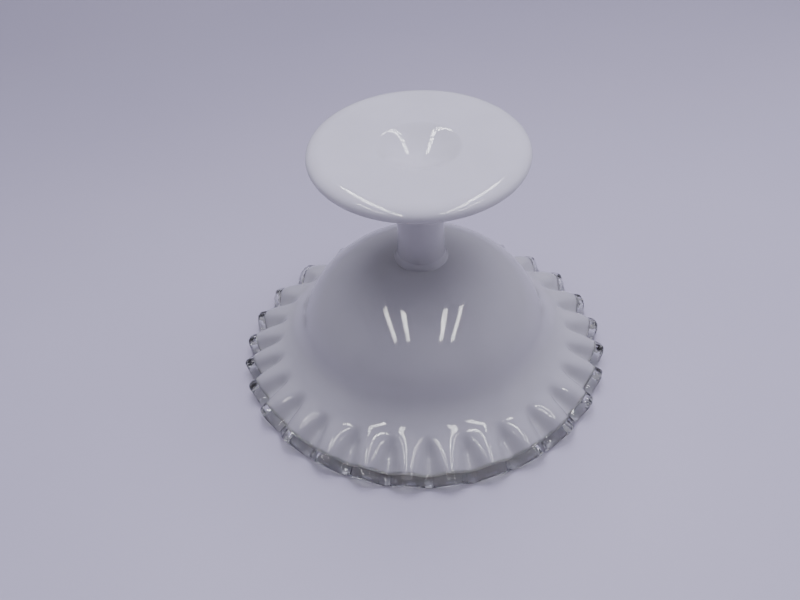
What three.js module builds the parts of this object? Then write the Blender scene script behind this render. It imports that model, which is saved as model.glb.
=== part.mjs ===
// Footed glass compote with a crimped skirt and a clear edge ribbon, standing upside down on its rim.
// Millimetres, +Z up. The origin is the middle of the rim, on the surface that the rim rests on.

import * as THREE from 'three';

const { degToRad, lerp, smoothstep } = THREE.MathUtils;

const HEIGHT = 127;
const FIT_GAP = 0.3;

// Rim: the ribbon's outermost radius is on the ridges, its lowest point is in the grooves.
const RIM_RADIUS = 89.4;
const RIBBON_THICKNESS = 3.6;
const RIBBON_LENGTH = 4.6;
const EDGE_SLOPE = degToRad(35);

// Crimps: evenly spaced waves, then shifted a little around the rim as a hand tool leaves them.
// A groove starts as a narrow valley and widens towards the rim. Starts and ends are radii.
const CRIMP_COUNT = 28;
const CRIMP_LEAN = degToRad(30);
const RIDGE_HEIGHT = 2.2;
const RIDGE_START = 67;
const RIDGE_END = 82;
const GROOVE_DEPTH = 3.7;
const GROOVE_START = 69;
const GROOVE_END = 78;
const GROOVE_WIDENS_FROM = 72;
const GROOVE_WIDE_FROM = 88;
const GROOVE_NARROWNESS = { inner: 4, outer: 1.1 };
const CRIMP_TURN = degToRad(-5.9);
const CRIMP_DRIFT = [
  { waves: 1, size: degToRad(1.7), phase: degToRad(21) },
  { waves: 2, size: degToRad(1.6), phase: degToRad(-60) },
  { waves: 3, size: degToRad(1.6), phase: degToRad(48) },
  { waves: 4, size: degToRad(1.4), phase: degToRad(-161) },
];

// Bowl: a round crown, a shoulder where the wall is steepest, then a flared skirt.
const BOWL_TOP = 65.6;
const BOWL_PAD_RADIUS = 13.5;
const CROWN_REACH = 15.5;
const SHOULDER_RADIUS = 57.5;
const SHOULDER_HEIGHT = 32;
const SHOULDER_SLOPE = degToRad(72);
const SHOULDER_REACH_UP = 20;
const SHOULDER_REACH_DOWN = 14;
const WALL = 4;
const SKIRT_THICKNESS = 3.3;
const SKIRT_REACH = 12;

// Wafer between the bowl and the stem, and the stem, which narrows towards the foot.
const WAFER_RADIUS = 12;
const WAFER_THICKNESS = 2.2;
const STEM_RADIUS = 10.8;
const STEM_BASE_RADIUS = 11.3;
const STEM_BASE_REACH = 8;
const STEM_REACH = 24;

// Foot: a disc on a short neck, with a pillowy edge, a flat ring to rest on and a hollow in the middle.
// The edge is widest a little below the ring, and is measured inwards and up or down from there.
const FOOT_RADIUS = 49;
const FOOT_SHOULDER = { reach: 7, rise: 4 };
const FOOT_UNDERSIDE = { reach: 3, drop: 3.2 };
const FOOT_DEPTH_AT_NECK = 15.5;
const FOOT_DEPTH_AT_HUB = 9.8;
const HUB_RADIUS = 18;
const HUB_REACH = 5;
const HUB_SAG = 0.8;
const REST_RING_INNER_RADIUS = 34;
const DISH_DEPTH = 0.6;
const DISH_REACH = 5;
const DIMPLE_RADIUS = 19;
const DIMPLE_DEPTH = 7.6;
const DIMPLE_LIP = { reach: 2.5, drop: 0.35 };
const DIMPLE_REACH = 7.5;

// How finely the round shapes are divided.
const CURVE_STEPS = 5;
const SKIRT_STEPS = 8;
const DIMPLE_STEPS = 8;
const CRIMP_FACETS = 6;
const FOOT_FACETS = 64;
const STEM_FACETS = 32;

const milkGlass = { color: 0xe8e7ee, roughness: 0.12, metalness: 0 };
const clearGlass = { color: 0xf4f6f8, roughness: 0.03, metalness: 0, transparent: true, opacity: 0.35 };

const ribbonTip = point(
  RIM_RADIUS - RIBBON_THICKNESS / 2 - RIDGE_HEIGHT * Math.sin(CRIMP_LEAN),
  RIBBON_THICKNESS / 2 + GROOVE_DEPTH * Math.cos(CRIMP_LEAN),
);

function point(radius, height) {
  return new THREE.Vector2(radius, height);
}

// Moves from a point: so far down a slope, and so far out square to it.
function slopePoint(from, slope, down, out) {
  return point(
    from.x + down * Math.cos(slope) + out * Math.sin(slope),
    from.y - down * Math.sin(slope) + out * Math.cos(slope),
  );
}

// A point near the edge: so far past the seam with the ribbon, so far out from the middle of the wall.
function edgePoint(pastSeam, out) {
  return slopePoint(ribbonTip, EDGE_SLOPE, pastSeam - RIBBON_LENGTH, out);
}

// A point near the shoulder: so far down the wall, so far out from its outer surface.
function shoulderPoint(down, out) {
  return slopePoint(point(SHOULDER_RADIUS, SHOULDER_HEIGHT), SHOULDER_SLOPE, down, out);
}

function bend(start, startHandle, endHandle, end, steps = CURVE_STEPS) {
  return new THREE.CubicBezierCurve(start, startHandle, endHandle, end).getPoints(steps);
}

function arc(centre, radius, from, to, rise = radius) {
  return new THREE.EllipseCurve(centre.x, centre.y, radius, rise, from, to).getPoints(CURVE_STEPS);
}

// Turns a profile of (radius, height) points about the Z axis.
function turn(profile, facets) {
  const geometry = new THREE.LatheGeometry(profile, facets);
  geometry.rotateX(Math.PI / 2);
  return geometry;
}

function crimpDrift(angle) {
  let drift = 0;
  for (const { waves, size, phase } of CRIMP_DRIFT) {
    drift += size * Math.sin(waves * angle + phase);
  }
  return drift;
}

// How far the crimps lift a point of the skirt, from its radius and its place between two ridges.
function crimpPush(radius, evenAngle) {
  const ridge = (1 + Math.cos(CRIMP_COUNT * evenAngle)) / 2;
  const widening = smoothstep(radius, GROOVE_WIDENS_FROM, GROOVE_WIDE_FROM);
  const narrowness = lerp(GROOVE_NARROWNESS.inner, GROOVE_NARROWNESS.outer, widening);
  const lift = RIDGE_HEIGHT * ridge * smoothstep(radius, RIDGE_START, RIDGE_END);
  return lift - GROOVE_DEPTH * (1 - ridge) ** narrowness * smoothstep(radius, GROOVE_START, GROOVE_END);
}

// Pushes the skirt out and up on the ridges, and in and down in the grooves.
function crimp(geometry) {
  const places = geometry.getAttribute('position');
  for (let i = 0; i < places.count; i += 1) {
    const radius = Math.hypot(places.getX(i), places.getY(i));
    const evenAngle = Math.atan2(places.getX(i), -places.getY(i));
    const push = crimpPush(radius, evenAngle);
    const angle = evenAngle + CRIMP_TURN + crimpDrift(evenAngle + CRIMP_TURN);
    const reach = radius + push * Math.sin(CRIMP_LEAN);
    const height = places.getZ(i) + push * Math.cos(CRIMP_LEAN);
    places.setXYZ(i, reach * Math.sin(angle), -reach * Math.cos(angle), height);
  }
  return geometry;
}

// One surface of the bowl, axis to edge: so deep in the wall, so far out from the middle of the skirt.
function bowlSurface(depth, skirtOut) {
  const top = BOWL_TOP - depth;
  const padRadius = BOWL_PAD_RADIUS - depth;
  return [
    point(0, top),
    ...bend(
      point(padRadius, top), point(padRadius + CROWN_REACH, top),
      shoulderPoint(-SHOULDER_REACH_UP, -depth), shoulderPoint(0, -depth),
    ),
    ...bend(
      shoulderPoint(0, -depth), shoulderPoint(SHOULDER_REACH_DOWN, -depth),
      edgePoint(-SKIRT_REACH, skirtOut), edgePoint(-FIT_GAP / 2, skirtOut), SKIRT_STEPS,
    ).slice(1),
  ];
}

function bowl() {
  const inside = bowlSurface(WALL, -SKIRT_THICKNESS / 2);
  const outside = bowlSurface(0, SKIRT_THICKNESS / 2);
  return crimp(turn([...inside, ...outside.reverse()], CRIMP_COUNT * CRIMP_FACETS));
}

function rimCrest() {
  const half = RIBBON_THICKNESS / 2;
  const up = Math.PI / 2 - EDGE_SLOPE;
  const profile = [
    edgePoint(FIT_GAP / 2, -half),
    ...arc(ribbonTip, half, up - Math.PI, up),
    edgePoint(FIT_GAP / 2, half),
    edgePoint(FIT_GAP / 2, -half),
  ];
  return crimp(turn(profile, CRIMP_COUNT * CRIMP_FACETS));
}

function joiningWafer() {
  const bottom = BOWL_TOP + FIT_GAP;
  const edgeRadius = WAFER_THICKNESS / 2;
  const profile = [
    point(0, bottom),
    ...arc(point(WAFER_RADIUS - edgeRadius, bottom + edgeRadius), edgeRadius, -Math.PI / 2, Math.PI / 2),
    point(0, bottom + WAFER_THICKNESS),
  ];
  return turn(profile, STEM_FACETS);
}

function stem() {
  const bottom = BOWL_TOP + WAFER_THICKNESS + 2 * FIT_GAP;
  const top = HEIGHT - FOOT_DEPTH_AT_NECK - FIT_GAP;
  const profile = [
    point(0, bottom),
    ...bend(
      point(STEM_BASE_RADIUS, bottom), point(STEM_RADIUS, bottom + STEM_BASE_REACH),
      point(STEM_RADIUS, top - STEM_REACH), point(STEM_RADIUS, top),
    ),
    point(0, top),
  ];
  return turn(profile, STEM_FACETS);
}

// The pillowy edge of the foot, from its underside up to the flat ring.
function footEdge() {
  const widest = HEIGHT - FOOT_SHOULDER.rise;
  const under = point(FOOT_RADIUS - FOOT_UNDERSIDE.reach, widest);
  const shoulder = point(FOOT_RADIUS - FOOT_SHOULDER.reach, widest);
  return [
    ...arc(under, FOOT_UNDERSIDE.reach, -Math.PI / 2, 0, FOOT_UNDERSIDE.drop),
    ...arc(shoulder, FOOT_SHOULDER.reach, 0, Math.PI / 2, FOOT_SHOULDER.rise).slice(1),
  ];
}

function foot() {
  const neck = HEIGHT - FOOT_DEPTH_AT_NECK;
  const hub = HEIGHT - FOOT_DEPTH_AT_HUB;
  const dish = HEIGHT - DISH_DEPTH;
  const dimpleFloor = HEIGHT - DIMPLE_DEPTH;
  const profile = [
    point(0, neck),
    ...bend(
      point(STEM_RADIUS, neck), point(STEM_RADIUS, neck + HUB_REACH),
      point(HUB_RADIUS - HUB_REACH, hub - HUB_SAG), point(HUB_RADIUS, hub),
    ),
    ...footEdge(),
    ...bend(
      point(REST_RING_INNER_RADIUS, HEIGHT), point(REST_RING_INNER_RADIUS - DISH_REACH, HEIGHT),
      point(DIMPLE_RADIUS + DISH_REACH, dish), point(DIMPLE_RADIUS, dish),
    ),
    ...bend(
      point(DIMPLE_RADIUS, dish), point(DIMPLE_RADIUS - DIMPLE_LIP.reach, dish - DIMPLE_LIP.drop),
      point(DIMPLE_REACH, dimpleFloor), point(0, dimpleFloor), DIMPLE_STEPS,
    ).slice(1),
  ];
  return turn(profile, FOOT_FACETS);
}

function part(name, geometry, look) {
  const mesh = new THREE.Mesh(geometry, new THREE.MeshStandardMaterial(look));
  mesh.name = name;
  return mesh;
}

const compote = new THREE.Group();
compote.add(
  part('rim_crest', rimCrest(), clearGlass),
  part('bowl', bowl(), milkGlass),
  part('joining_wafer', joiningWafer(), milkGlass),
  part('stem', stem(), milkGlass),
  part('foot', foot(), milkGlass),
);

export default compote;
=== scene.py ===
"""A footed bowl of white glass with a crimped skirt and a clear edge, standing upside down on its rim.

Metres and +Z up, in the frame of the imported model: the rim rests on z = 0 and the foot is uppermost.
"""

import math

import bpy
import numpy as np
from mathutils import Matrix, Vector


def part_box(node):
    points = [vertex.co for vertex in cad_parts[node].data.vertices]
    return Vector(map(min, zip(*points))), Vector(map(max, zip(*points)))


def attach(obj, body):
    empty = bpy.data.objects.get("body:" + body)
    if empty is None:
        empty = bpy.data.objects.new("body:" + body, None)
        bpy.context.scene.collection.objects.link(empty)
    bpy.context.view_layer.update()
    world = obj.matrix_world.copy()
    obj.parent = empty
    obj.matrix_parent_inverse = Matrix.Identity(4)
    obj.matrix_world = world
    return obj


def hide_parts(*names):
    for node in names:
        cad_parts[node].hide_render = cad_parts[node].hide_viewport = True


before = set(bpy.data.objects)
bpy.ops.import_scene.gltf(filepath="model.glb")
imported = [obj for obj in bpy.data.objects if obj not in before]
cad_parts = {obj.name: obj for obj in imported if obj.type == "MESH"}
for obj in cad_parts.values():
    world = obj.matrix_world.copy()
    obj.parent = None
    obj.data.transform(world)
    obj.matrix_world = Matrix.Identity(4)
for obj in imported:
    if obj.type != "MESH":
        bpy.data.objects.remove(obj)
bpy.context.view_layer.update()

MM = 0.001

# ---------------------------------------------------------------- sizes, in millimetres and degrees
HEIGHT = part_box("foot")[1].z / MM
RIM_RADIUS = 89.4
RIBBON_THICKNESS = 3.6
RIBBON_LENGTH = 4.6
BEAD_RADIUS = 2.15
BEAD_PLACE = 4.25
BEAD_OUT = 0.25
BEAD_SWELLS_FROM, BEAD_SWELLS_TO = 0.45, 0.55
SEAM_GAP = 0.02
EDGE_SLOPE = math.radians(35)

CRIMP_COUNT = 28
CRIMP_LEAN = math.radians(30)
RIDGE_HEIGHT = 2.2
RIDGE_START, RIDGE_END = 67.0, 82.0
GROOVE_DEPTH = 3.7
GROOVE_START, GROOVE_END = 69.0, 78.0
GROOVE_WIDENS_FROM, GROOVE_WIDE_FROM = 72.0, 88.0
GROOVE_NARROWNESS_IN, GROOVE_NARROWNESS_OUT = 4.0, 1.1
CRIMP_START = math.radians(-5.9)
CRIMP_DRIFT = [  # waves round the rim, size, phase
    (1, math.radians(1.7), math.radians(21)),
    (2, math.radians(1.6), math.radians(-60)),
    (3, math.radians(1.6), math.radians(48)),
    (4, math.radians(1.4), math.radians(-161)),
]

BOWL_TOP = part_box("bowl")[1].z / MM
BOWL_PAD_RADIUS = 13.5
CROWN_REACH = 15.5
SHOULDER_RADIUS = 57.5
SHOULDER_HEIGHT = 32.0
SHOULDER_SLOPE = math.radians(72)
SHOULDER_REACH_UP = 20.0
SHOULDER_REACH_DOWN = 14.0
WALL = 4.0
SKIRT_THICKNESS = 3.3
SKIRT_REACH = 12.0

WAFER_RADIUS = 12.0
WAFER_SINK = 0.5
WAFER_MELT = 0.9
WAFER_SKIN = 0.1
WAFER_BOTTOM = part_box("joining_wafer")[0].z / MM
WAFER_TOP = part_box("joining_wafer")[1].z / MM
STEM_RADIUS = 10.8
STEM_BASE_RADIUS = 11.3
STEM_BASE_REACH = 8.0
STEM_REACH = 24.0
STEM_TUCK = 0.3

FOOT_RADIUS = 49.0
FOOT_SHOULDER_REACH, FOOT_SHOULDER_DROP = 7.0, 4.0
FOOT_UNDER_REACH, FOOT_UNDER_DROP = 3.0, 3.2
FOOT_DEPTH_AT_NECK = 15.5
FOOT_DEPTH_AT_HUB = 9.8
HUB_RADIUS = 18.0
HUB_REACH = 5.0
HUB_SAG = 0.8
REST_RING_INNER_RADIUS = 34.0
DISH_DEPTH = 0.6
DISH_REACH = 5.0
DIMPLE_RADIUS = 19.0
DIMPLE_DEPTH = 7.6
DIMPLE_LIP_REACH, DIMPLE_LIP_DROP = 2.5, 0.35
DIMPLE_REACH = 7.5

STEPS_PER_CRIMP = 20
ROUND_STEPS = 256
SAME_POINT = 1e-6
SMOOTH_BELOW = math.radians(50)

RIPPLE_RISE = 0.8
RIPPLE_STARTS, RIPPLE_FULL = RIM_RADIUS - 7.0, RIM_RADIUS - 4.0
RIPPLE_BANDS = (  # fewest and most waves round the rim, largest size
    (40, 70, 0.08), (70, 110, 0.06), (110, 170, 0.05), (170, 240, 0.035), (240, 330, 0.025),
)
RIPPLES_PER_BAND = 3
RIPPLE_SEED = 28
chance = np.random.default_rng(RIPPLE_SEED)
RIPPLES = [  # waves round the rim, size, phase
    (
        int(chance.integers(low, high)),
        float(chance.uniform(0.5, 1.0) * size),
        float(chance.uniform(0, 2 * math.pi)),
    )
    for low, high, size in RIPPLE_BANDS
    for _ in range(RIPPLES_PER_BAND)
]

RIBBON_TIP = np.array([
    RIM_RADIUS - RIBBON_THICKNESS / 2 - RIDGE_HEIGHT * math.sin(CRIMP_LEAN),
    RIBBON_THICKNESS / 2 + GROOVE_DEPTH * math.cos(CRIMP_LEAN),
])


# ---------------------------------------------------------------- profiles: (radius, height) points
def slope_point(start, slope, down, out):
    """From start: so far down a slope, and so far out square to it."""
    along = np.array([math.cos(slope), -math.sin(slope)])
    away = np.array([math.sin(slope), math.cos(slope)])
    return np.asarray(start) + down * along + out * away


def edge_point(past_seam, out):
    return slope_point(RIBBON_TIP, EDGE_SLOPE, past_seam - RIBBON_LENGTH, out)


def shoulder_point(down, out):
    return slope_point((SHOULDER_RADIUS, SHOULDER_HEIGHT), SHOULDER_SLOPE, down, out)


def bend(a, b, c, d, steps):
    t = np.linspace(0, 1, steps + 1)[:, None]
    a, b, c, d = (np.asarray(p, float) for p in (a, b, c, d))
    return (1 - t) ** 3 * a + 3 * t * (1 - t) ** 2 * b + 3 * t**2 * (1 - t) * c + t**3 * d


def arc(centre, radius, start, end, steps):
    t = np.linspace(start, end, steps + 1)
    return np.stack([centre[0] + radius * np.cos(t), centre[1] + radius * np.sin(t)], axis=1)


def line(a, b, steps):
    t = np.linspace(0, 1, steps + 1)[:, None]
    return (1 - t) * np.asarray(a, float) + t * np.asarray(b, float)


# ---------------------------------------------------------------- meshes
def mesh_object(name, verts, faces):
    mesh = bpy.data.meshes.new(name)
    mesh.from_pydata([tuple(v) for v in verts], [], faces)
    mesh.validate()
    for polygon in mesh.polygons:
        polygon.use_smooth = True
    mesh.set_sharp_from_angle(angle=SMOOTH_BELOW)
    mesh.update()
    obj = bpy.data.objects.new(name, mesh)
    bpy.context.scene.collection.objects.link(obj)
    return obj


def turned(name, profile, steps, shape=None):
    """Turns a profile about Z. One that starts on the axis also ends there; any other closes on itself."""
    profile = np.asarray(profile, float)
    steps_between = np.linalg.norm(np.diff(profile, axis=0), axis=1)
    profile = profile[np.concatenate([[True], steps_between > SAME_POINT])]
    on_axis = profile[0][0] < SAME_POINT
    if not on_axis and np.linalg.norm(profile[0] - profile[-1]) < SAME_POINT:
        profile = profile[:-1]
    inner = profile[1:-1] if on_axis else profile
    angles = 2 * math.pi * np.arange(steps) / steps
    radius, height = inner[:, 0][:, None], inner[:, 1][:, None]
    even = np.broadcast_to(angles[None, :], (len(inner), steps))
    x, y, z = radius * np.sin(even), -radius * np.cos(even), height + 0 * even
    if shape:
        x, y, z = shape(radius + 0 * even, even, z)
    verts = list(np.stack([x, y, z], axis=-1).reshape(-1, 3) * MM)
    faces = []
    rows = len(inner)
    for i in range(rows if not on_axis else rows - 1):
        a, b = i * steps, ((i + 1) % rows) * steps
        for j in range(steps):
            k = (j + 1) % steps
            faces.append((a + j, a + k, b + k, b + j))
    if on_axis:
        first, last = len(verts), len(verts) + 1
        verts.append(np.array([0, 0, profile[0][1] * MM]))
        verts.append(np.array([0, 0, profile[-1][1] * MM]))
        end = (rows - 1) * steps
        for j in range(steps):
            k = (j + 1) % steps
            faces.append((first, k, j))
            faces.append((last, end + j, end + k))
    return mesh_object(name, verts, faces)


def smoothstep(x, low, high):
    t = np.clip((x - low) / (high - low), 0, 1)
    return t * t * (3 - 2 * t)


def crimped(radius, even, height):
    """Pushes the skirt out and up on the ridges, and in and down in the grooves, which narrow inwards."""
    ridge = (1 + np.cos(CRIMP_COUNT * even)) / 2
    widening = smoothstep(radius, GROOVE_WIDENS_FROM, GROOVE_WIDE_FROM)
    narrowness = GROOVE_NARROWNESS_IN + (GROOVE_NARROWNESS_OUT - GROOVE_NARROWNESS_IN) * widening
    push = RIDGE_HEIGHT * ridge * smoothstep(radius, RIDGE_START, RIDGE_END)
    push = push - GROOVE_DEPTH * (1 - ridge) ** narrowness * smoothstep(radius, GROOVE_START, GROOVE_END)
    angle = even + CRIMP_START
    angle = angle + sum(size * np.sin(waves * angle + phase) for waves, size, phase in CRIMP_DRIFT)
    reach = radius + push * math.sin(CRIMP_LEAN)
    return reach * np.sin(angle), -reach * np.cos(angle), height + push * math.cos(CRIMP_LEAN)


def crimped_ribbon(radius, even, height):
    """The ribbon follows the crimps, with the fine pulled ripples of hot glass."""
    x, y, z = crimped(radius, even, height)
    ripple = sum(size * np.sin(waves * even + phase) for waves, size, phase in RIPPLES)
    ripple = ripple * smoothstep(radius, RIPPLE_STARTS, RIPPLE_FULL)
    return x * (1 + ripple / radius), y * (1 + ripple / radius), z + RIPPLE_RISE * ripple


def bowl_surface(depth, skirt_out, seam):
    top = BOWL_TOP - depth
    pad = BOWL_PAD_RADIUS - depth
    return np.vstack([
        line((0, top), (pad, top), 6),
        bend((pad, top), (pad + CROWN_REACH, top),
             shoulder_point(-SHOULDER_REACH_UP, -depth), shoulder_point(0, -depth), 48),
        bend(shoulder_point(0, -depth), shoulder_point(SHOULDER_REACH_DOWN, -depth),
             edge_point(-SKIRT_REACH, skirt_out), edge_point(seam, skirt_out), 48),
    ])


def bowl():
    inside = bowl_surface(WALL, -SKIRT_THICKNESS / 2, 0)
    outside = bowl_surface(0, SKIRT_THICKNESS / 2, 0)
    up = math.pi / 2 - EDGE_SLOPE
    lip = arc(edge_point(0, 0), SKIRT_THICKNESS / 2, up - math.pi, up, 12)
    profile = np.vstack([inside, lip[1:-1], outside[::-1]])
    return turned("milk_bowl", profile, CRIMP_COUNT * STEPS_PER_CRIMP, crimped)


def rim_crest():
    """The clear ribbon: flush with the milk glass at the seam, with a round bead at the edge."""
    half = SKIRT_THICKNESS / 2
    bead = edge_point(BEAD_PLACE, BEAD_OUT)
    up = math.pi / 2 - EDGE_SLOPE
    swell_from, swell_to = BEAD_PLACE * BEAD_SWELLS_FROM, BEAD_PLACE * BEAD_SWELLS_TO
    outer, inner = (
        bend(edge_point(SEAM_GAP, seam), edge_point(swell_from, seam),
             edge_point(swell_to, widest), edge_point(BEAD_PLACE, widest), 14)
        for seam, widest in ((half, BEAD_OUT + BEAD_RADIUS), (-half, BEAD_OUT - BEAD_RADIUS))
    )
    profile = np.vstack([
        line(edge_point(SEAM_GAP, half), edge_point(SEAM_GAP, -half), 4),
        inner,
        arc(bead, BEAD_RADIUS, up - math.pi, up, 28),
        outer[::-1],
    ])
    return turned("clear_rim_crest", profile, CRIMP_COUNT * STEPS_PER_CRIMP * 2, crimped_ribbon)


def joining_wafer():
    """The soft collar of glass that joins the stem to the bowl, melted out to nothing at both ends."""
    base, crown = WAFER_BOTTOM - WAFER_SINK, WAFER_TOP + WAFER_MELT
    profile = np.vstack([
        line((0, base), (WAFER_RADIUS + WAFER_MELT, base), 8),
        bend((WAFER_RADIUS + WAFER_MELT, base), (WAFER_RADIUS, base + WAFER_SINK),
             (STEM_BASE_RADIUS + WAFER_SINK, WAFER_TOP), (STEM_BASE_RADIUS - WAFER_SKIN, crown), 28),
        line((STEM_BASE_RADIUS - WAFER_SKIN, crown), (0, crown), 6),
    ])
    return turned("milk_wafer", profile, ROUND_STEPS)


def stem():
    bottom, top = WAFER_TOP - STEM_TUCK, HEIGHT - FOOT_DEPTH_AT_NECK + STEM_TUCK
    profile = np.vstack([
        line((0, bottom), (STEM_BASE_RADIUS, bottom), 4),
        bend((STEM_BASE_RADIUS, bottom), (STEM_RADIUS, bottom + STEM_BASE_REACH),
             (STEM_RADIUS, top - STEM_REACH), (STEM_RADIUS, top), 48),
        line((STEM_RADIUS, top), (0, top), 4),
    ])
    return turned("milk_stem", profile, ROUND_STEPS)


def foot():
    neck = HEIGHT - FOOT_DEPTH_AT_NECK
    hub = HEIGHT - FOOT_DEPTH_AT_HUB
    widest = HEIGHT - FOOT_SHOULDER_DROP
    floor = HEIGHT - DIMPLE_DEPTH
    dish = HEIGHT - DISH_DEPTH
    quarter = np.linspace(0, math.pi / 2, 25)
    under = np.stack([FOOT_RADIUS - FOOT_UNDER_REACH * (1 - np.sin(quarter)),
                      widest - FOOT_UNDER_DROP * np.cos(quarter)], axis=1)
    over = np.stack([FOOT_RADIUS - FOOT_SHOULDER_REACH * (1 - np.cos(quarter)),
                     widest + FOOT_SHOULDER_DROP * np.sin(quarter)], axis=1)
    profile = np.vstack([
        line((0, neck), (STEM_RADIUS, neck), 4),
        bend((STEM_RADIUS, neck), (STEM_RADIUS, neck + HUB_REACH),
             (HUB_RADIUS - HUB_REACH, hub - HUB_SAG), (HUB_RADIUS, hub), 24),
        line((HUB_RADIUS, hub), under[0], 20),
        under,
        over,
        line(over[-1], (REST_RING_INNER_RADIUS, HEIGHT), 8),
        bend((REST_RING_INNER_RADIUS, HEIGHT), (REST_RING_INNER_RADIUS - DISH_REACH, HEIGHT),
             (DIMPLE_RADIUS + DISH_REACH, dish), (DIMPLE_RADIUS, dish), 16),
        bend((DIMPLE_RADIUS, dish), (DIMPLE_RADIUS - DIMPLE_LIP_REACH, dish - DIMPLE_LIP_DROP),
             (DIMPLE_REACH, floor), (0, floor), 40),
    ])
    return turned("milk_foot", profile, ROUND_STEPS)


# ---------------------------------------------------------------- materials
def new_material(name):
    material = bpy.data.materials.new(name)
    material.use_nodes = True
    tree = material.node_tree
    return material, tree, tree.nodes["Principled BSDF"]


def node(tree, kind, **settings):
    made = tree.nodes.new(kind)
    for key, value in settings.items():
        if key in made.inputs:
            made.inputs[key].default_value = value
        else:
            setattr(made, key, value)
    return made


def ramp(tree, source, low, high, low_colour, high_colour):
    made = tree.nodes.new("ShaderNodeValToRGB")
    for stop, place, colour in zip(made.color_ramp.elements, (low, high), (low_colour, high_colour)):
        stop.position = place
        stop.color = (*colour, 1)
    tree.links.new(source, made.inputs["Fac"])
    return made


def noise(tree, place, scale, detail=3.0):
    made = node(tree, "ShaderNodeTexNoise", Scale=scale, Detail=detail)
    tree.links.new(place.outputs["Object"], made.inputs["Vector"])
    return made


def bump(tree, shader, height, distance, strength=1.0):
    made = node(tree, "ShaderNodeBump", Strength=strength, Distance=distance)
    tree.links.new(height, made.inputs["Height"])
    tree.links.new(made.outputs["Normal"], shader.inputs["Normal"])


GLASS_IOR = 1.5
MILK_TINT = (0.66, 0.66, 0.632)
MILK_CLOUD = 1.075  # how much paler the clouds are
WALL_PAINTED_SHADE = 0.715  # painted shade: the same milk glass painted darker on the bowl than on the foot, standing in for the light its thin wall lets through
MILK_SKIN_SMOOTH, MILK_SKIN_DULL = (0.015,) * 3, (0.055,) * 3
MILK_WAVE = 0.00012
MILK_SCATTER, MILK_SCATTER_DEPTH = 0.12, 0.003


def milk_glass(name, pale):
    """Opaque white glass: faint clouds in it, and a glossy skin that is very slightly wavy."""
    material, tree, shader = new_material(name)
    link = tree.links.new
    place = node(tree, "ShaderNodeTexCoord")
    cloud = noise(tree, place, 30.0)
    # pale scales the whole colour; below 1, as on the bowl, it is painted shade
    tint = ramp(tree, cloud.outputs["Fac"], 0.3, 0.7, [pale * part for part in MILK_TINT],
                [pale * MILK_CLOUD * part for part in MILK_TINT])
    link(tint.outputs["Color"], shader.inputs["Base Color"])
    smear = noise(tree, place, 55.0, 5.0)
    skin = ramp(tree, smear.outputs["Fac"], 0.35, 0.75, MILK_SKIN_SMOOTH, MILK_SKIN_DULL)
    link(skin.outputs["Color"], shader.inputs["Roughness"])
    wave = noise(tree, place, 70.0, 2.0)
    bump(tree, shader, wave.outputs["Fac"], MILK_WAVE)
    shader.inputs["IOR"].default_value = GLASS_IOR
    shader.inputs["Subsurface Weight"].default_value = MILK_SCATTER
    shader.inputs["Subsurface Radius"].default_value = (1.0, 0.9, 0.8)
    shader.inputs["Subsurface Scale"].default_value = MILK_SCATTER_DEPTH
    return material


# the grey of the clear glass is painted shade that darkens the ribbon; the step between the two colours is
# the cords
CORD_DARK_AND_PAINTED_SHADE, CORD_LIGHT_AND_PAINTED_SHADE = (0.84, 0.86, 0.85), (0.93, 0.94, 0.94)
CORD_DEPTH = 0.00006


def clear_glass():
    """Clear glass with cords: faint streaks of denser glass drawn along the ribbon, in a grey tint that is
    painted shade and darkens the whole ribbon.
    """
    material, tree, shader = new_material("clear_glass")
    link = tree.links.new
    place = node(tree, "ShaderNodeTexCoord")
    cord = noise(tree, place, 220.0)
    tint = ramp(tree, cord.outputs["Fac"], 0.3, 0.7, CORD_DARK_AND_PAINTED_SHADE, CORD_LIGHT_AND_PAINTED_SHADE)
    link(tint.outputs["Color"], shader.inputs["Base Color"])
    bump(tree, shader, cord.outputs["Fac"], CORD_DEPTH)
    shader.inputs["Roughness"].default_value = 0.0
    shader.inputs["IOR"].default_value = GLASS_IOR
    shader.inputs["Transmission Weight"].default_value = 1.0
    return material


PAPER_DARK, PAPER_LIGHT = (0.53, 0.508, 0.558), (0.555, 0.533, 0.58)
PAPER_SHADE_SOONER_ACROSS = -0.3  # how much sooner the painted shade sets in towards -X
PAPER_SHADE_FULL_AT = 0.45
PAPER_SHADE_TINT = (0.74, 0.74, 0.75)
PAPER_TOOTH = 0.0001


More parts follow.
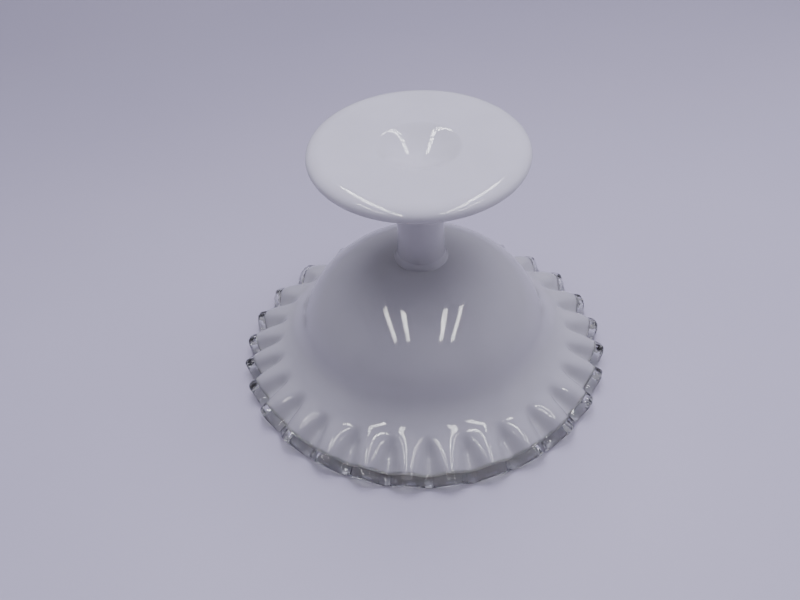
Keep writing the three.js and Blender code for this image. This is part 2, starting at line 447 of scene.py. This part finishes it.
def paper():
    """The pale sheet under the glass: matt, mottled, with a fine tooth, and greyer towards the back and
    towards -X, which is painted shade where the light falls off.
    """
    material, tree, shader = new_material("paper")
    link = tree.links.new
    place = node(tree, "ShaderNodeTexCoord")
    mottle = noise(tree, place, 6.0, 4.0)
    tint = ramp(tree, mottle.outputs["Fac"], 0.3, 0.7, PAPER_DARK, PAPER_LIGHT)
    # painted shade: the paper greys towards the back and towards -X, as if the light fell off there
    split = node(tree, "ShaderNodeSeparateXYZ")
    link(place.outputs["Object"], split.inputs["Vector"])
    across = node(tree, "ShaderNodeMath", operation="MULTIPLY_ADD")
    across.inputs[1].default_value = PAPER_SHADE_SOONER_ACROSS
    link(split.outputs["X"], across.inputs[0])
    link(split.outputs["Y"], across.inputs[2])
    painted_falloff = ramp(tree, across.outputs["Value"], 0.0, PAPER_SHADE_FULL_AT, (1.0, 1.0, 1.0), PAPER_SHADE_TINT)
    painted_falloff.color_ramp.interpolation = "EASE"
    mixed = node(tree, "ShaderNodeMixRGB", blend_type="MULTIPLY")
    mixed.inputs["Fac"].default_value = 1.0
    link(tint.outputs["Color"], mixed.inputs["Color1"])
    link(painted_falloff.outputs["Color"], mixed.inputs["Color2"])
    link(mixed.outputs["Color"], shader.inputs["Base Color"])
    tooth = noise(tree, place, 900.0, 2.0)
    bump(tree, shader, tooth.outputs["Fac"], PAPER_TOOTH, 0.3)
    shader.inputs["Roughness"].default_value = 0.55
    return material


MILK = milk_glass("milk_glass", 1.0)
# the bowl's copy of the milk glass, painted darker: painted shade
SHADED_MILK = milk_glass("milk_glass_wall_painted_shade", WALL_PAINTED_SHADE)
CLEAR = clear_glass()

for piece, material, cad_node, slot in (
    (bowl(), SHADED_MILK, "bowl", "milk_glass"),
    (rim_crest(), CLEAR, "rim_crest", "clear_glass"),
    (joining_wafer(), MILK, "joining_wafer", "milk_glass"),
    (stem(), MILK, "stem", "milk_glass"),
    (foot(), MILK, "foot", "milk_glass"),
):
    piece.data.materials.append(material)
    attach(piece, "root")
    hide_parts(cad_node)

# ---------------------------------------------------------------- floor, light and camera
SQUARE = ((-1, -1), (1, -1), (1, 1), (-1, 1))
FLOOR_HALF = 3.0
floor = mesh_object(
    "floor",
    [(FLOOR_HALF * x, FLOOR_HALF * y, 0) for x, y in SQUARE],
    [(0, 1, 2, 3)],
)
floor.data.materials.append(paper())


LIGHT_TINT = (0.76, 0.73, 1.0)


def soft_lamp(name, kind, place, target, power):
    """A lamp that is seen neither by the camera nor in reflections."""
    data = bpy.data.lights.new(name, kind)
    data.energy = power
    data.color = LIGHT_TINT
    obj = bpy.data.objects.new(name, data)
    obj.location = Vector(place)
    obj.rotation_euler = (Vector(target) - Vector(place)).to_track_quat("-Z", "Y").to_euler()
    obj.visible_glossy = False
    obj.visible_camera = False
    bpy.context.scene.collection.objects.link(obj)
    return data


LAMPS = (  # name, place, target, size, watts
    ("overhead", (0.06, 0.13, 0.80), (0.03, 0.05, 0), 0.75, 2.90),
    ("overhead_front", (0.0, -0.30, 0.75), (0, -0.1, 0), 0.5, 1.60),
    ("overhead_back", (0.0, 0.50, 0.75), (0, 0.1, 0), 0.5, 1.30),
    ("right_high", (0.50, 0.0, 0.45), (0, 0, 0.05), 0.5, 1.25),
    ("left_high", (-0.50, 0.0, 0.45), (0, 0, 0.05), 0.5, 0.50),
)
for lamp_name, lamp_place, lamp_target, lamp_size, lamp_power in LAMPS:
    soft_lamp(lamp_name, "AREA", lamp_place, lamp_target, lamp_power).size = lamp_size

# The whole ceiling of the studio: wide, soft and even out to the horizon.
SKY_LIGHT = 1.95
SKY_WIDTH = math.radians(65)
SKY_FROM = (0.06, 0.14, 0.80)
soft_lamp("sky", "SUN", SKY_FROM, (0, 0, 0), SKY_LIGHT).angle = SKY_WIDTH


def glowing(name, verts, faces, strength, colour):
    """A panel or strip of the light box, seen only in reflections and through the clear glass."""
    glow = mesh_object(name, verts, faces)
    material, _, shader = new_material(name)
    shader.inputs["Base Color"].default_value = (0, 0, 0, 1)
    shader.inputs["Emission Color"].default_value = (*colour, 1)
    shader.inputs["Emission Strength"].default_value = strength
    glow.data.materials.append(material)
    glow.visible_camera = False
    glow.visible_diffuse = False
    glow.visible_shadow = False


CEILING = 0.40
STRIPS = ((-0.205, -0.02), (-0.105, 0.26), (0.118, 0.26), (0.210, -0.02))  # place across, back end
STRIP_FRONT = -0.31
STRIP_WIDTH = 0.014
DIODE_PITCH = 0.020
DIODE_ROWS = 2
DIODE_HALF = 0.0056
DIODE_GLOW = 42.0
DIODE_TINT = (1.0, 1.0, 1.0)


def diode_strip(name, x, back):
    verts, faces = [], []
    for i in range(int((back - STRIP_FRONT) / DIODE_PITCH)):
        for j in range(DIODE_ROWS):
            cx = x + (j / (DIODE_ROWS - 1) - 0.5) * STRIP_WIDTH
            cy = STRIP_FRONT + (i + 0.5 * (j % 2)) * DIODE_PITCH
            k = len(verts)
            verts += [(cx + DIODE_HALF * a, cy + DIODE_HALF * b, CEILING) for a, b in SQUARE]
            faces.append((k, k + 3, k + 2, k + 1))
    glowing(name, verts, faces, DIODE_GLOW, DIODE_TINT)


for index, (strip_x, strip_back) in enumerate(STRIPS):
    diode_strip(f"diodes_{index}", strip_x, strip_back)

BOX_FRONT, BOX_BACK, BOX_SIDE = -0.25, 0.55, 0.45
BOX_BOTTOM, BOX_TOP = 0.02, 0.405
CEILING_FRONT = -0.02
BOX_GLOW = 0.38
BOX_TINT = (0.86, 0.83, 1.0)
for panel_name, corners in (
    ("wall_left", [(-BOX_SIDE, BOX_FRONT, BOX_BOTTOM), (-BOX_SIDE, BOX_BACK, BOX_BOTTOM),
                   (-BOX_SIDE, BOX_BACK, BOX_TOP), (-BOX_SIDE, BOX_FRONT, BOX_TOP)]),
    ("wall_right", [(BOX_SIDE, BOX_FRONT, BOX_BOTTOM), (BOX_SIDE, BOX_BACK, BOX_BOTTOM),
                    (BOX_SIDE, BOX_BACK, BOX_TOP), (BOX_SIDE, BOX_FRONT, BOX_TOP)]),
    ("wall_back", [(-BOX_SIDE, BOX_BACK, BOX_BOTTOM), (BOX_SIDE, BOX_BACK, BOX_BOTTOM),
                   (BOX_SIDE, BOX_BACK, BOX_TOP), (-BOX_SIDE, BOX_BACK, BOX_TOP)]),
    ("ceiling", [(-BOX_SIDE, CEILING_FRONT, BOX_TOP), (BOX_SIDE, CEILING_FRONT, BOX_TOP),
                 (BOX_SIDE, BOX_BACK, BOX_TOP), (-BOX_SIDE, BOX_BACK, BOX_TOP)]),
):
    glowing(panel_name, corners, [(0, 1, 2, 3)], BOX_GLOW, BOX_TINT)

# A pale backdrop beyond the floor, seen by the camera only.
ROOM_COLOUR = (0.315, 0.30, 0.385, 1)
world = bpy.data.worlds.new("room")
bpy.context.scene.world = world
world.use_nodes = True
backdrop = world.node_tree.nodes["Background"]
backdrop.inputs["Color"].default_value = ROOM_COLOUR
backdrop.inputs["Strength"].default_value = 1.0
for ray in ("diffuse", "glossy", "transmission", "scatter"):
    setattr(world.cycles_visibility, ray, False)

CAMERA_PLACE = (0.0, -0.3816, 0.3766)
CAMERA_PITCH = math.radians(41.59)
CAMERA_YAW = math.radians(-1.65)
CAMERA_ROLL = math.radians(-2.71)
LENS, SENSOR_WIDTH = 47.28, 36.0
NEAREST = 0.01

ahead = Vector((
    math.sin(CAMERA_YAW) * math.cos(CAMERA_PITCH),
    math.cos(CAMERA_YAW) * math.cos(CAMERA_PITCH),
    -math.sin(CAMERA_PITCH),
))
level = ahead.cross(Vector((0, 0, 1))).normalized()
above = level.cross(ahead)
right = math.cos(CAMERA_ROLL) * level + math.sin(CAMERA_ROLL) * above
up = -math.sin(CAMERA_ROLL) * level + math.cos(CAMERA_ROLL) * above

camera = bpy.data.objects.new("camera", bpy.data.cameras.new("camera"))
camera.data.lens = LENS
camera.data.sensor_width = SENSOR_WIDTH
camera.data.clip_start = NEAREST
camera.matrix_world = Matrix.Translation(CAMERA_PLACE) @ Matrix((right, up, -ahead)).transposed().to_4x4()
bpy.context.scene.collection.objects.link(camera)
bpy.context.scene.camera = camera
